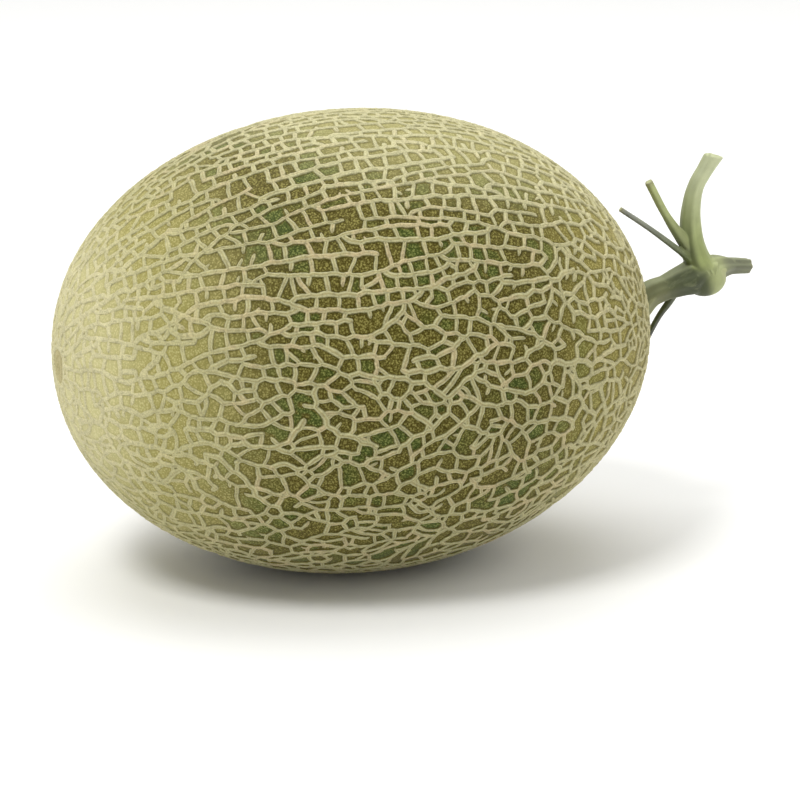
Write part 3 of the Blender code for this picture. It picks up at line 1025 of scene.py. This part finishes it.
@dataclass(frozen=True)
class CorkFinish:
    """Cork tissue of the net: dry and matt, pale tan lips, a darker fissure and greenish flanks, paled over the top
    and at the blossom-end rim by painted haze and light.
    """

    name: str = "cork_net"
    lip: str = "#b9b58a"
    fissure: str = "#a39a6c"
    flank: str = "#6f6930"
    rosy: str = "#bfa984"
    blossom: str = "#c0ba89"
    stem: str = "#c7c092"
    haze: str = "#efeacd"
    # Painted haze and light: the pale top colour and the pale pole colour stand in for the haze and light of the
    # grazing view over the top and at the blossom-end rim
    top: str = "#cbc69b"
    pole_haze: str = "#d0c99f"
    top_lean: float = 0.22
    grain_size: float = 0.5
    patch_size: float = 8.0
    crack_spacing: float = 1.1

    def material(self) -> bpy.types.Material:
        """Builds the material."""
        made, tree, shader = new_material(self.name)
        place = add_node(tree, "ShaderNodeTexCoord").outputs["Object"]
        split = add_node(tree, "ShaderNodeSeparateXYZ", {0: place})
        x = split.outputs["X"]
        across = add_node(tree, "ShaderNodeAttribute", attribute_name="across").outputs["Fac"]
        aside = add_node(tree, "ShaderNodeMath", {0: across}, operation="ABSOLUTE").outputs[0]
        grain = add_node(tree, "ShaderNodeTexNoise",
                         {"Vector": place, "Scale": 1000 / self.grain_size, "Detail": 3.0}).outputs["Fac"]
        patch = add_node(tree, "ShaderNodeTexNoise",
                         {"Vector": place, "Scale": 1000 / self.patch_size, "Detail": 2.0}).outputs["Fac"]
        on_lip = add_node(tree, "ShaderNodeMapRange", {0: aside, 1: 0.10, 2: 0.42},
                          interpolation_type="SMOOTHSTEP").outputs[0]
        # Painted light: the greenish flanks fade out near the top, so the lines there read paler
        below_top = add_node(tree, "ShaderNodeMapRange", {0: split.outputs["Z"], 1: 0.13, 2: 0.155, 3: 1.0, 4: 0.3},
                             interpolation_type="SMOOTHSTEP").outputs[0]
        on_flank = add_node(tree, "ShaderNodeMapRange", {0: aside, 1: 0.66, 2: 0.98, 4: below_top},
                            interpolation_type="SMOOTHSTEP").outputs[0]
        # Painted haze and light: paler over the top, with the edge leaning along the fruit, and at the blossom-end
        # rim
        leaning = add_node(tree, "ShaderNodeMath", {0: x, 1: self.top_lean, 2: split.outputs["Z"]},
                           operation="MULTIPLY_ADD").outputs[0]
        painted_top_light = add_node(tree, "ShaderNodeMapRange", {0: leaning, 1: 0.126, 2: 0.156, 4: 0.7},
                          interpolation_type="SMOOTHSTEP").outputs[0]
        painted_pole_haze = add_node(tree, "ShaderNodeMapRange", {0: x, 1: -0.078, 2: -0.1, 4: 0.8},
                           interpolation_type="SMOOTHSTEP").outputs[0]
        at_blossom = add_node(tree, "ShaderNodeMapRange", {0: x, 1: -0.045, 2: -0.09, 4: 0.75},
                              interpolation_type="SMOOTHSTEP").outputs[0]
        at_stem = add_node(tree, "ShaderNodeMapRange", {0: x, 1: 0.035, 2: 0.08, 4: 0.8},
                           interpolation_type="SMOOTHSTEP").outputs[0]
        colour = add_node(tree, "ShaderNodeMix",
                          {0: on_lip, 6: hex_colour(self.fissure), 7: hex_colour(self.lip)},
                          data_type="RGBA").outputs[2]
        tone = add_node(tree, "ShaderNodeAttribute", attribute_name="tone").outputs["Fac"]
        along = add_node(tree, "ShaderNodeAttribute", attribute_name="along").outputs["Fac"]
        rosiness = add_node(tree, "ShaderNodeMath", {0: tone, 1: 0.25, 2: patch}, operation="MULTIPLY_ADD").outputs[0]
        on_rosy = add_node(tree, "ShaderNodeMapRange", {0: rosiness, 1: 0.6, 2: 0.86, 4: 0.5},
                           interpolation_type="SMOOTHSTEP").outputs[0]
        crack_along = add_node(tree, "ShaderNodeMath", {0: along, 1: 1000 / self.crack_spacing},
                               operation="MULTIPLY").outputs[0]
        line_place = add_node(tree, "ShaderNodeCombineXYZ", {0: crack_along, 1: across, 2: tone}).outputs[0]
        crack_noise = add_node(tree, "ShaderNodeTexNoise",
                               {"Vector": line_place, "Scale": 1.0, "Detail": 3.0, "Distortion": 0.6}).outputs["Fac"]
        on_crack = add_node(tree, "ShaderNodeMapRange", {0: crack_noise, 1: 0.48, 2: 0.36},
                            interpolation_type="SMOOTHSTEP").outputs[0]
        layers = ((on_rosy, self.rosy), (on_flank, self.flank), (at_blossom, self.blossom),
                  (at_stem, self.stem), (painted_top_light, self.top), (painted_pole_haze, self.pole_haze))
        for share, code in layers:
            colour = add_node(tree, "ShaderNodeMix", {0: share, 6: colour, 7: hex_colour(code)},
                              data_type="RGBA").outputs[2]
        shade = add_node(tree, "ShaderNodeMapRange", {0: grain, 1: 0.3, 2: 0.7, 3: 0.78, 4: 1.15}).outputs[0]
        patch_shade = add_node(tree, "ShaderNodeMapRange",
                               {0: patch, 1: 0.3, 2: 0.7, 3: 0.93, 4: 1.06}).outputs[0]
        shade = add_node(tree, "ShaderNodeMath", {0: shade, 1: patch_shade}, operation="MULTIPLY").outputs[0]
        crack_shade = add_node(tree, "ShaderNodeMapRange", {0: on_crack, 3: 1.0, 4: 0.86}).outputs[0]
        shade = add_node(tree, "ShaderNodeMath", {0: shade, 1: crack_shade}, operation="MULTIPLY").outputs[0]
        colour = add_node(tree, "ShaderNodeVectorMath", {0: colour, 3: shade}, operation="SCALE").outputs[0]
        tree.links.new(colour, shader.inputs["Base Color"])
        shader.inputs["Specular IOR Level"].default_value = 0.15
        shader.inputs["Sheen Weight"].default_value = 0.3
        shader.inputs["Sheen Roughness"].default_value = 0.36
        shader.inputs["Sheen Tint"].default_value = hex_colour(self.haze)
        rough = add_node(tree, "ShaderNodeMapRange", {0: grain, 1: 0.2, 2: 0.8, 3: 0.7, 4: 0.9}).outputs[0]
        tree.links.new(rough, shader.inputs["Roughness"])
        relief = add_node(tree, "ShaderNodeMath", {0: on_crack, 1: -0.8, 2: grain},
                          operation="MULTIPLY_ADD").outputs[0]
        bump = add_node(tree, "ShaderNodeBump",
                        {"Height": relief, "Distance": 0.18 * MM, "Strength": 1.0}).outputs[0]
        tree.links.new(bump, shader.inputs["Normal"])
        return made


@dataclass(frozen=True)
class RindFinish:
    """Waxy green skin: deep green and olive brown by cell, with fine pale flecks, painted shade right beside the
    lines, and painted haze and light that pale it over the top and at the blossom-end rim.
    """

    green: tuple[str, str] = ("#313e08", "#7c8345")
    brown: tuple[str, str] = ("#433a03", "#8e8748")
    # Painted haze and light: the pale top colours and the pale pole colours stand in for the haze and light of the
    # grazing view over the top and at the blossom-end rim
    top: tuple[str, str] = ("#989259", "#bbb480")
    stem: tuple[str, str] = ("#827731", "#b6ac68")
    blossom: tuple[str, str] = ("#938c4e", "#b8b077")
    painted_shade_beside_line: str = "#40390c"
    haze: str = "#efeacd"
    pole_haze: tuple[str, str] = ("#bfb983", "#d2cb9b")
    top_lean: float = 0.22
    fleck_size: float = 0.5
    dot_spacing: float = 0.8
    cell_drift: float = 18.0

    def material(self) -> bpy.types.Material:
        """Builds the material."""
        made, tree, shader = new_material("melon_skin")
        place = add_node(tree, "ShaderNodeTexCoord").outputs["Object"]
        split = add_node(tree, "ShaderNodeSeparateXYZ", {0: place})
        gap = add_node(tree, "ShaderNodeAttribute", attribute_name="gap").outputs["Fac"]
        tone = add_node(tree, "ShaderNodeAttribute", attribute_name="cell_tone").outputs["Fac"]
        flecks = add_node(tree, "ShaderNodeTexNoise",
                          {"Vector": place, "Scale": 1000 / self.fleck_size, "Detail": 2.0}).outputs["Fac"]
        drift = add_node(tree, "ShaderNodeTexNoise",
                         {"Vector": place, "Scale": 1000 / self.cell_drift, "Detail": 2.0}).outputs["Fac"]
        greenness = add_node(tree, "ShaderNodeMath", {0: tone, 1: drift}, operation="ADD").outputs[0]
        greenness = add_node(tree, "ShaderNodeMapRange", {0: greenness, 1: 1.02, 2: 1.48},
                             interpolation_type="SMOOTHSTEP").outputs[0]
        # Painted haze and light: paler over the top, with the edge leaning along the fruit, and at the blossom-end
        # rim
        leaning = add_node(tree, "ShaderNodeMath",
                           {0: split.outputs["X"], 1: self.top_lean, 2: split.outputs["Z"]},
                           operation="MULTIPLY_ADD").outputs[0]
        painted_top_light = add_node(tree, "ShaderNodeMapRange", {0: leaning, 1: 0.135, 2: 0.162, 4: 0.95},
                          interpolation_type="SMOOTHSTEP").outputs[0]
        at_stem = add_node(tree, "ShaderNodeMapRange", {0: split.outputs["X"], 1: 0.034, 2: 0.08, 4: 0.9},
                           interpolation_type="SMOOTHSTEP").outputs[0]
        at_blossom = add_node(tree, "ShaderNodeMapRange",
                              {0: split.outputs["X"], 1: -0.04, 2: -0.085},
                              interpolation_type="SMOOTHSTEP").outputs[0]
        painted_pole_haze = add_node(tree, "ShaderNodeMapRange",
                           {0: split.outputs["X"], 1: -0.082, 2: -0.104},
                           interpolation_type="SMOOTHSTEP").outputs[0]
        zones = ((greenness, self.green), (at_stem, self.stem), (painted_top_light, self.top),
                 (at_blossom, self.blossom), (painted_pole_haze, self.pole_haze))
        deep, pale = hex_colour(self.brown[0]), hex_colour(self.brown[1])
        for share, (deep_code, pale_code) in zones:
            deep = add_node(tree, "ShaderNodeMix", {0: share, 6: deep, 7: hex_colour(deep_code)},
                            data_type="RGBA").outputs[2]
            pale = add_node(tree, "ShaderNodeMix", {0: share, 6: pale, 7: hex_colour(pale_code)},
                            data_type="RGBA").outputs[2]
        from_dot = add_node(tree, "ShaderNodeTexVoronoi",
                            {"Vector": place, "Scale": 1000 / self.dot_spacing}).outputs["Distance"]
        on_dot = add_node(tree, "ShaderNodeMapRange", {0: from_dot, 1: 0.54, 2: 0.26, 4: 0.7},
                          interpolation_type="SMOOTHSTEP").outputs[0]
        on_fleck = add_node(tree, "ShaderNodeMapRange", {0: flecks, 1: 0.4, 2: 0.7, 4: 0.45},
                            interpolation_type="SMOOTHSTEP").outputs[0]
        on_fleck = add_node(tree, "ShaderNodeMath", {0: on_dot, 1: on_fleck}, operation="ADD",
                            use_clamp=True).outputs[0]
        colour = add_node(tree, "ShaderNodeMix", {0: on_fleck, 6: deep, 7: pale}, data_type="RGBA").outputs[2]
        # Painted shade: the skin is darkened right beside each raised line, where the lines' shade falls, less so at
        # the blossom end
        beside = add_node(tree, "ShaderNodeMapRange", {0: gap, 1: 0.8 * MM, 2: 0.0, 4: 0.35},
                          interpolation_type="SMOOTHSTEP").outputs[0]
        softer = add_node(tree, "ShaderNodeMapRange", {0: at_blossom, 3: 1.0, 4: 0.3}).outputs[0]
        beside = add_node(tree, "ShaderNodeMath", {0: beside, 1: softer}, operation="MULTIPLY").outputs[0]
        colour = add_node(tree, "ShaderNodeMix", {0: beside, 6: colour, 7: hex_colour(self.painted_shade_beside_line)},
                          data_type="RGBA").outputs[2]
        tree.links.new(colour, shader.inputs["Base Color"])
        shader.inputs["Specular IOR Level"].default_value = 0.12
        shader.inputs["Sheen Weight"].default_value = 0.3
        shader.inputs["Sheen Roughness"].default_value = 0.36
        shader.inputs["Sheen Tint"].default_value = hex_colour(self.haze)
        rough = add_node(tree, "ShaderNodeMapRange", {0: flecks, 1: 0.3, 2: 0.7, 3: 0.5, 4: 0.68}).outputs[0]
        tree.links.new(rough, shader.inputs["Roughness"])
        bump = add_node(tree, "ShaderNodeBump",
                        {"Height": flecks, "Distance": 0.12 * MM, "Strength": 0.6}).outputs[0]
        tree.links.new(bump, shader.inputs["Normal"])
        return made


@dataclass(frozen=True)
class VineFinish:
    """Fresh vine, ribbed and softly matt, with pale streaks along it and a pale pith in its cuts, painted in shade on
    the side that faces the fruit and painted paler on the far side and on faces that turn upward.
    """

    pale: str = "#b9c08f"
    dark: str = "#616a3c"
    shaded: str = "#454d29"
    pith: str = "#a9ad7c"
    streak_size: float = 0.9
    dry: str = "#8b8766"

    def material(self) -> bpy.types.Material:
        """Builds the material."""
        made, tree, shader = new_material("green_vine")
        place = add_node(tree, "ShaderNodeTexCoord").outputs["Object"]
        colour = add_node(tree, "ShaderNodeAttribute", attribute_name="vine_colour").outputs["Color"]
        grain_place = add_node(tree, "ShaderNodeAttribute", attribute_name="grain_place").outputs["Vector"]
        pith = add_node(tree, "ShaderNodeAttribute", attribute_name="pith").outputs["Fac"]
        streaks = add_node(tree, "ShaderNodeTexNoise",
                           {"Vector": grain_place, "Scale": 1000 / self.streak_size, "Detail": 3.0}).outputs["Fac"]
        blotches = add_node(tree, "ShaderNodeTexNoise",
                            {"Vector": place, "Scale": 1000 / 5.0, "Detail": 2.0}).outputs["Fac"]
        clear = add_node(tree, "ShaderNodeAttribute", attribute_name="clear").outputs["Fac"]
        pale_most = add_node(tree, "ShaderNodeMapRange", {0: clear, 4: 0.2}).outputs[0]
        dark_most = add_node(tree, "ShaderNodeMapRange", {0: clear, 4: 0.16}).outputs[0]
        on_pale = add_node(tree, "ShaderNodeMapRange", {0: streaks, 1: 0.5, 2: 0.72, 4: pale_most},
                           interpolation_type="SMOOTHSTEP").outputs[0]
        on_dark = add_node(tree, "ShaderNodeMapRange", {0: streaks, 1: 0.46, 2: 0.3, 4: dark_most},
                           interpolation_type="SMOOTHSTEP").outputs[0]
        # Painted light and shade: the side that faces the fruit is painted in shade, most strongly low down by the
        # node, and the far side and the upward faces are painted paler
        facing = add_node(tree, "ShaderNodeNewGeometry").outputs["Normal"]
        towards_fruit = add_node(tree, "ShaderNodeVectorMath", {0: facing, 1: (-1.0, 0.0, 0.06)},
                                 operation="DOT_PRODUCT").outputs["Value"]
        height = add_node(tree, "ShaderNodeSeparateXYZ", {0: place}).outputs["Z"]
        upward = add_node(tree, "ShaderNodeSeparateXYZ", {0: facing}).outputs["Z"]
        on_lit = add_node(tree, "ShaderNodeMapRange", {0: upward, 1: 0.4, 2: 0.95, 4: 0.3},
                          interpolation_type="SMOOTHSTEP").outputs[0]
        most = add_node(tree, "ShaderNodeMapRange", {0: height, 1: 0.100, 2: 0.121, 3: 0.84, 4: 0.40},
                        interpolation_type="SMOOTHSTEP").outputs[0]
        on_shaded = add_node(tree, "ShaderNodeMapRange", {0: towards_fruit, 1: -0.3, 2: 0.8, 4: most},
                             interpolation_type="SMOOTHSTEP").outputs[0]
        painted_light_far_side = add_node(tree, "ShaderNodeMapRange", {0: towards_fruit, 1: -0.45, 2: -0.95, 4: 0.4},
                          interpolation_type="SMOOTHSTEP").outputs[0]
        at_cut = add_node(tree, "ShaderNodeAttribute", attribute_name="at_cut").outputs["Fac"]
        layers = ((on_pale, self.pale), (on_dark, self.dark), (on_shaded, self.shaded), (painted_light_far_side, self.pale),
                  (on_lit, self.pale), (at_cut, self.dry))
        for share, code in layers:
            colour = add_node(tree, "ShaderNodeMix", {0: share, 6: colour, 7: hex_colour(code)},
                              data_type="RGBA").outputs[2]
        shade = add_node(tree, "ShaderNodeMapRange", {0: blotches, 1: 0.3, 2: 0.7, 3: 0.9, 4: 1.08}).outputs[0]
        colour = add_node(tree, "ShaderNodeVectorMath", {0: colour, 3: shade}, operation="SCALE").outputs[0]
        colour = add_node(tree, "ShaderNodeMix", {0: pith, 6: colour, 7: hex_colour(self.pith)},
                          data_type="RGBA").outputs[2]
        tree.links.new(colour, shader.inputs["Base Color"])
        rough = add_node(tree, "ShaderNodeMapRange", {0: streaks, 1: 0.3, 2: 0.7, 3: 0.5, 4: 0.66}).outputs[0]
        tree.links.new(rough, shader.inputs["Roughness"])
        relief = add_node(tree, "ShaderNodeMath", {0: streaks, 1: clear}, operation="MULTIPLY").outputs[0]
        bump = add_node(tree, "ShaderNodeBump",
                        {"Height": relief, "Distance": 0.12 * MM, "Strength": 0.35}).outputs[0]
        tree.links.new(bump, shader.inputs["Normal"])
        return made


@dataclass(frozen=True)
class Branch:
    """One branch of the vine: a route of (x, y, height over the fruit's axis, radius) in mm."""

    name: str
    route: tuple
    root_colour: str
    tip_colour: str
    ribs: int = 6
    rib_depth: float = 0.06
    pith_share: float = 0.62
    turns: tuple[float, float] = (0.1, 0.9)
    dries: bool = False


@dataclass
class Vine:
    """The stalk with its swollen node and all branches, grown together as one piece."""

    form: FruitForm
    finish: bpy.types.Material
    branches: tuple = (
        # The stalk's dark tip colour, where it runs into the node, is painted shade under the node
        Branch("stalk", ((98.0, 0.0, -2.6, 6.4), (105.4, 0.0, 2.6, 5.6), (111.2, 0.0, 7.2, 4.7),
                         (117.0, 0.0, 9.1, 4.4), (122.8, 0.0, 10.9, 5.3), (127.5, 0.0, 12.2, 6.2),
                         (131.7, 0.0, 14.0, 5.4)), "#8b8b5e", "#3b4226", 6, 0.05, turns=(0.05, 0.72)),
        Branch("node_flank", ((131.4, 0.0, 14.6, 4.3), (135.6, -1.2, 13.4, 4.3)),
               "#98a168", "#a7ae79", 6, 0.02),
        Branch("upper_vine", ((132.2, 0.3, 13.2, 5.1), (127.8, -0.4, 21.8, 4.6), (126.1, -0.8, 30.8, 3.9),
                              (126.3, -0.8, 39.2, 3.3), (128.0, -0.4, 45.6, 2.9), (131.3, 0.2, 50.7, 2.9),
                              (138.6, 1.6, 60.4, 3.6)), "#939d5f", "#c6cba2", 7, 0.035),
        Branch("lower_vine", ((131.1, -0.3, 13.7, 5.2), (137.7, 2.0, 14.4, 4.6), (144.3, 4.5, 13.9, 3.0),
                              (152.6, 7.4, 12.6, 2.7)), "#9aa06f", "#686b52", 6, 0.09, turns=(0.1, 0.5), dries=True),
        Branch("petiole", ((126.6, -1.0, 21.6, 2.7), (121.2, -2.5, 28.4, 2.1), (114.8, -4.0, 37.1, 1.45),
                           (107.4, -5.5, 49.7, 1.45)), "#7c8354", "#abb277", 5, 0.06, dries=True),
        Branch("tendril", ((127.6, -1.0, 18.0, 1.9), (121.0, -3.5, 23.0, 1.2), (108.6, -5.0, 32.4, 1.0),
                           (96.8, -5.5, 40.6, 0.9)), "#56622e", "#85877c", 5, 0.06, dries=True),
        Branch("side_shoot", ((122.4, 1.2, 9.4, 2.0), (121.0, 4.0, 3.5, 1.4), (118.2, 8.0, -3.6, 1.1),
                              (114.6, 12.5, -14.9, 1.0)), "#50553e", "#4f514a", 5, 0.06, dries=True),
    )
    knuckle: tuple = (132.6, 0.3, 11.2)
    knuckle_size: tuple = (7.9 * MM, 6.3 * MM, 6.5 * MM)
    top_cut: tuple = (135.6, 0.0, 56.0)
    top_cut_facing: tuple = (0.24, 0.0, 0.97)
    top_cut_edge: float = 0.7 * MM
    section_points: int = 42
    steps: int = 14
    voxel: float = 0.30 * MM
    smoothing: int = 7
    nearest_count: int = 20
    blend_rounds: int = 18

    def build(self) -> bpy.types.Object:
        """Sweeps the branches, joins them and stores their colours.

        Returns:
            The piece.
        """
        parts = [self.sweep(branch) for branch in self.branches]
        parts.append(self.swell_node())
        lines = {branch.name: self.centreline(branch) for branch in self.branches}
        bpy.ops.object.select_all(action="DESELECT")
        for part in parts:
            part.select_set(True)
        bpy.context.view_layer.objects.active = parts[0]
        bpy.ops.object.join()
        vine = bpy.context.active_object
        vine.name = vine.data.name = "vine"
        vine.data.remesh_voxel_size = self.voxel
        bpy.ops.object.voxel_remesh()
        smooth = vine.modifiers.new("soften", "SMOOTH")
        smooth.iterations = self.smoothing
        bpy.ops.object.modifier_apply(modifier=smooth.name)
        bpy.ops.object.shade_smooth()
        vine.data.materials.clear()
        vine.data.materials.append(self.finish)
        self.colour(vine, lines)
        return vine

    def point(self, x: float, y: float, height: float) -> Vector:
        """Turns a place in mm, with its height over the fruit's axis, to the frame's metres."""
        return Vector((x * MM, y * MM, height * MM + self.form.axis_height))

    def curve_of(self, branch: Branch) -> bpy.types.Curve:
        """Lays a smooth curve along a branch's route.

        Args:
            branch: The branch.

        Returns:
            The curve, with each knot's radius in mm.
        """
        curve = bpy.data.curves.new(branch.name, "CURVE")
        curve.dimensions = "3D"
        curve.resolution_u = self.steps
        spline = curve.splines.new("BEZIER")
        spline.bezier_points.add(len(branch.route) - 1)
        for knot, (x, y, height, radius) in zip(spline.bezier_points, branch.route):
            knot.co = self.point(x, y, height)
            knot.radius = radius
            knot.handle_left_type = knot.handle_right_type = "AUTO"
        return curve

    def centreline(self, branch: Branch) -> list[tuple[Vector, float, float]]:
        """Samples a branch.

        Args:
            branch: The branch.

        Returns:
            Places along it, with the radius and the share of its length at each.
        """
        knots = self.curve_of(branch).splines[0].bezier_points
        spans = len(knots) - 1
        samples = []
        for i in range(spans):
            a, b = knots[i], knots[i + 1]
            places = geometry.interpolate_bezier(a.co, a.handle_right, b.handle_left, b.co, self.steps + 1)
            for step, place in enumerate(places[:-1] if i < spans - 1 else places):
                share = step / self.steps
                radius = (a.radius + (b.radius - a.radius) * share) * MM
                samples.append((place, radius, (i + share) / spans))
        return samples

    def sweep(self, branch: Branch) -> bpy.types.Object:
        """Sweeps a ribbed round section along a branch, closed at both ends.

        Args:
            branch: The branch.

        Returns:
            Its mesh object.
        """
        section = bpy.data.curves.new("section", "CURVE")
        ring = section.splines.new("POLY")
        ring.points.add(self.section_points - 1)
        ring.use_cyclic_u = True
        for i, corner in enumerate(ring.points):
            angle = 2 * math.pi * i / self.section_points
            reach = MM * (1 + branch.rib_depth * math.cos(branch.ribs * angle))
            corner.co = (reach * math.cos(angle), reach * math.sin(angle), 0, 1)
        section_object = bpy.data.objects.new("section", section)
        bpy.context.scene.collection.objects.link(section_object)
        curve = self.curve_of(branch)
        curve.bevel_mode = "OBJECT"
        curve.bevel_object = section_object
        curve.use_fill_caps = True
        rod = bpy.data.objects.new(branch.name, curve)
        bpy.context.scene.collection.objects.link(rod)
        take_only(rod)
        bpy.ops.object.convert(target="MESH")
        bpy.data.objects.remove(section_object)
        rod = bpy.context.active_object
        bpy.ops.object.mode_set(mode="EDIT")
        bpy.ops.mesh.select_all(action="SELECT")
        bpy.ops.mesh.remove_doubles(threshold=0.01 * MM)
        if branch.name == "upper_vine":
            bpy.ops.mesh.bisect(plane_co=self.point(*self.top_cut), plane_no=self.top_cut_facing,
                                use_fill=True, clear_outer=True)
            bpy.ops.mesh.bevel(offset=self.top_cut_edge, segments=3)
            bpy.ops.mesh.select_all(action="SELECT")
        bpy.ops.mesh.normals_make_consistent(inside=False)
        bpy.ops.object.mode_set(mode="OBJECT")
        return rod

    def swell_node(self) -> bpy.types.Object:
        """Makes the swelling at the node.

        Returns:
            Its mesh object.
        """
        bpy.ops.mesh.primitive_uv_sphere_add(segments=32, ring_count=20, radius=1.0, calc_uvs=False,
                                             location=self.point(*self.knuckle), scale=self.knuckle_size)
        return bpy.context.active_object

    def colour(self, vine: bpy.types.Object, lines: dict) -> None:
        """Stores each point's colour, its place along the grain, and whether it is in the pith of a cut.

        Args:
            vine: The piece.
            lines: Samples along each branch.
        """
        colours, grain, pith, clear, at_cut = [], [], [], [], []
        samples = []
        tree = kdtree.KDTree(sum(len(line) for line in lines.values()))
        for branch in self.branches:
            travelled, last = 0.0, None
            root, tip = Vector(hex_colour(branch.root_colour)), Vector(hex_colour(branch.tip_colour))
            for place, radius, share in lines[branch.name]:
                travelled += (place - last).length if last else 0.0
                last = place
                tree.insert(place, len(samples))
                tone = root.lerp(tip, smooth_share(share, *branch.turns))
                samples.append((branch, place, radius, share, travelled, tone))
        tree.balance()
        for vert in vine.data.vertices:
            near = [(distance / samples[index][2], samples[index])
                    for _, index, distance in tree.find_n(vert.co, self.nearest_count)]
            closest, nearest = min(near, key=lambda entry: entry[0])
            others = [reach for reach, sample in near if sample[0] is not nearest[0]]
            clear.append(smooth_share(min(others, default=9.0), closest, closest + 0.8))
            total = Vector((0, 0, 0, 0))
            for reach, (*_, tone) in near:
                total += tone * math.exp(-5 * reach)
            colours.append(tuple(total / total.w))
            branch, place, _, share, travelled, _ = nearest
            at_cut.append(0.7 * smooth_share(share, 0.955, 1.0) if branch.dries else 0.0)
            offset = vert.co - place
            grain.append((offset.x, offset.y, offset.z * 0.2 + travelled * 0.1))
            pith.append(self.pith_share_at(vert, nearest))
        store(vine, "vine_colour", self.blended(vine, colours), Kept.COLOUR)
        store(vine, "grain_place", grain, Kept.PLACE)
        store(vine, "pith", pith)
        store(vine, "clear", self.blended(vine, [(value,) for value in clear]))
        store(vine, "at_cut", at_cut)

    def blended(self, vine: bpy.types.Object, values: list) -> np.ndarray:
        """Evens out values between neighbouring points, so that one branch's look runs into the next.

        Args:
            vine: The piece.
            values: A row of numbers for each point.

        Returns:
            The even rows.
        """
        edges = np.array([tuple(edge.vertices) for edge in vine.data.edges])
        rows = np.array(values, float)
        counts = np.bincount(edges.ravel(), minlength=len(rows))[:, None]
        for _ in range(self.blend_rounds):
            total = np.zeros_like(rows)
            np.add.at(total, edges[:, 0], rows[edges[:, 1]])
            np.add.at(total, edges[:, 1], rows[edges[:, 0]])
            rows = 0.5 * rows + 0.5 * total / counts
        return rows

    def pith_share_at(self, vert: bpy.types.MeshVertex, nearest: tuple) -> float:
        """Returns 1 in the pith of a cut end and 0 on the bark."""
        branch, place, radius, share, *_ = nearest
        if share < 0.85:
            return 0.0
        line = [self.point(*knot[:3]) for knot in branch.route[-2:]]
        along = (line[1] - line[0]).normalized()
        end = line[1]
        if branch.name == "upper_vine":
            end = self.point(*self.top_cut)
            along = Vector(self.top_cut_facing)
        on_cut = (vert.co - end).dot(along) > -0.2 * MM
        offset = vert.co - place
        from_axis = (offset - along * offset.dot(along)).length
        return 1.0 if on_cut and from_axis < branch.pith_share * radius else 0.0


@dataclass
class Studio:
    """The floor, the soft light and the camera."""

    form: FruitForm
    floor_size: float = 6.0
    floor_colour: str = "#f7f7f5"
    lens: float = 157.8
    distance: float = 1.222
    looking: tuple = (0.313, 0.909, -0.276)
    aside: float = 15.67 * MM
    below: float = 21.0 * MM

    def build(self) -> None:
        """Sets up the floor, lights and camera."""
        self.add_floor()
        self.add_light("key", (-0.9, -0.6, 1.8), 0.6, 21.0)
        self.add_light("fill", (1.6, -0.5, 1.3), 1.2, 8.0)
        self.add_light("overhead", (0.1, 0.5, 1.6), 1.5, 14.0)
        world = bpy.data.worlds.new("studio")
        world.use_nodes = True
        world.node_tree.nodes["Background"].inputs["Color"].default_value = (1, 1, 1, 1)
        world.node_tree.nodes["Background"].inputs["Strength"].default_value = 0.55
        bpy.context.scene.world = world
        bpy.context.scene.view_settings.view_transform = "Standard"
        self.add_camera()

    def add_floor(self) -> None:
        """Lays the plain pale floor."""
        bpy.ops.mesh.primitive_plane_add(size=self.floor_size)
        floor = bpy.context.active_object
        floor.name = "floor"
        made, _, shader = new_material("pale_floor")
        shader.inputs["Base Color"].default_value = hex_colour(self.floor_colour)
        shader.inputs["Roughness"].default_value = 0.8
        floor.data.materials.append(made)

    def add_light(self, name: str, place: tuple, size: float, power: float) -> None:
        """Adds a soft square light that faces the fruit.

        Args:
            name: Its name.
            place: Where it stands.
            size: The length of its sides.
            power: Its power in watts.
        """
        lamp = bpy.data.lights.new(name, "AREA")
        lamp.size = size
        lamp.energy = power
        light = bpy.data.objects.new(name, lamp)
        bpy.context.scene.collection.objects.link(light)
        light.location = place
        towards = Vector((0, 0, self.form.axis_height)) - light.location
        light.rotation_euler = towards.to_track_quat("-Z", "Y").to_euler()

    def add_camera(self) -> None:
        """Adds the camera where the photo was taken from."""
        forward = Vector(self.looking).normalized()
        right = forward.cross(Vector((0, 0, 1))).normalized()
        up = right.cross(forward)
        lens = bpy.data.cameras.new("camera")
        lens.lens = self.lens
        lens.sensor_width = 36
        camera = bpy.data.objects.new("camera", lens)
        bpy.context.scene.collection.objects.link(camera)
        middle = Vector((0, 0, self.form.axis_height))
        place = middle - forward * self.distance + right * self.aside - up * self.below
        turn = Matrix((right, up, -forward)).transposed().to_4x4()
        camera.matrix_world = Matrix.Translation(place) @ turn
        bpy.context.scene.camera = camera


def main() -> None:
    """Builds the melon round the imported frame."""
    logging.basicConfig(level=logging.INFO, format="%(message)s")
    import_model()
    bpy.ops.object.select_all(action="DESELECT")
    form = FruitForm()
    Studio(form).build()
    plan = NetPlan(form)
    plan.grow()
    for kind in LineKind:
        lines = [line for line in plan.lines if line.kind is kind]
        length = sum(len(line.path) - 1 for line in lines) * plan.step
        LOG.info("%s: %d lines, %.1f m", kind.value, len(lines), length)
    rind = Rind(plan, RindFinish().material()).build()
    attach(rind, "root")
    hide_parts("fruit")
    for piece in CorkNet(plan, CorkFinish().material()).build():
        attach(piece, "root")
        LOG.info("%s: %d faces", piece.name, len(piece.data.polygons))
    scar_finish = CorkFinish("scar_cork", "#b8ab7a", "#857548", blossom="#b9b07f", pole_haze="#b3a878")
    scar = BlossomScar(form, scar_finish.material()).build()
    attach(scar, "root")
    LOG.info("%s: %d faces", scar.name, len(scar.data.polygons))
    vine = Vine(form, VineFinish().material()).build()
    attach(vine, "root")
    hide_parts("stem")
    LOG.info("%s: %d faces", vine.name, len(vine.data.polygons))


if __name__ == "__main__":
    main()
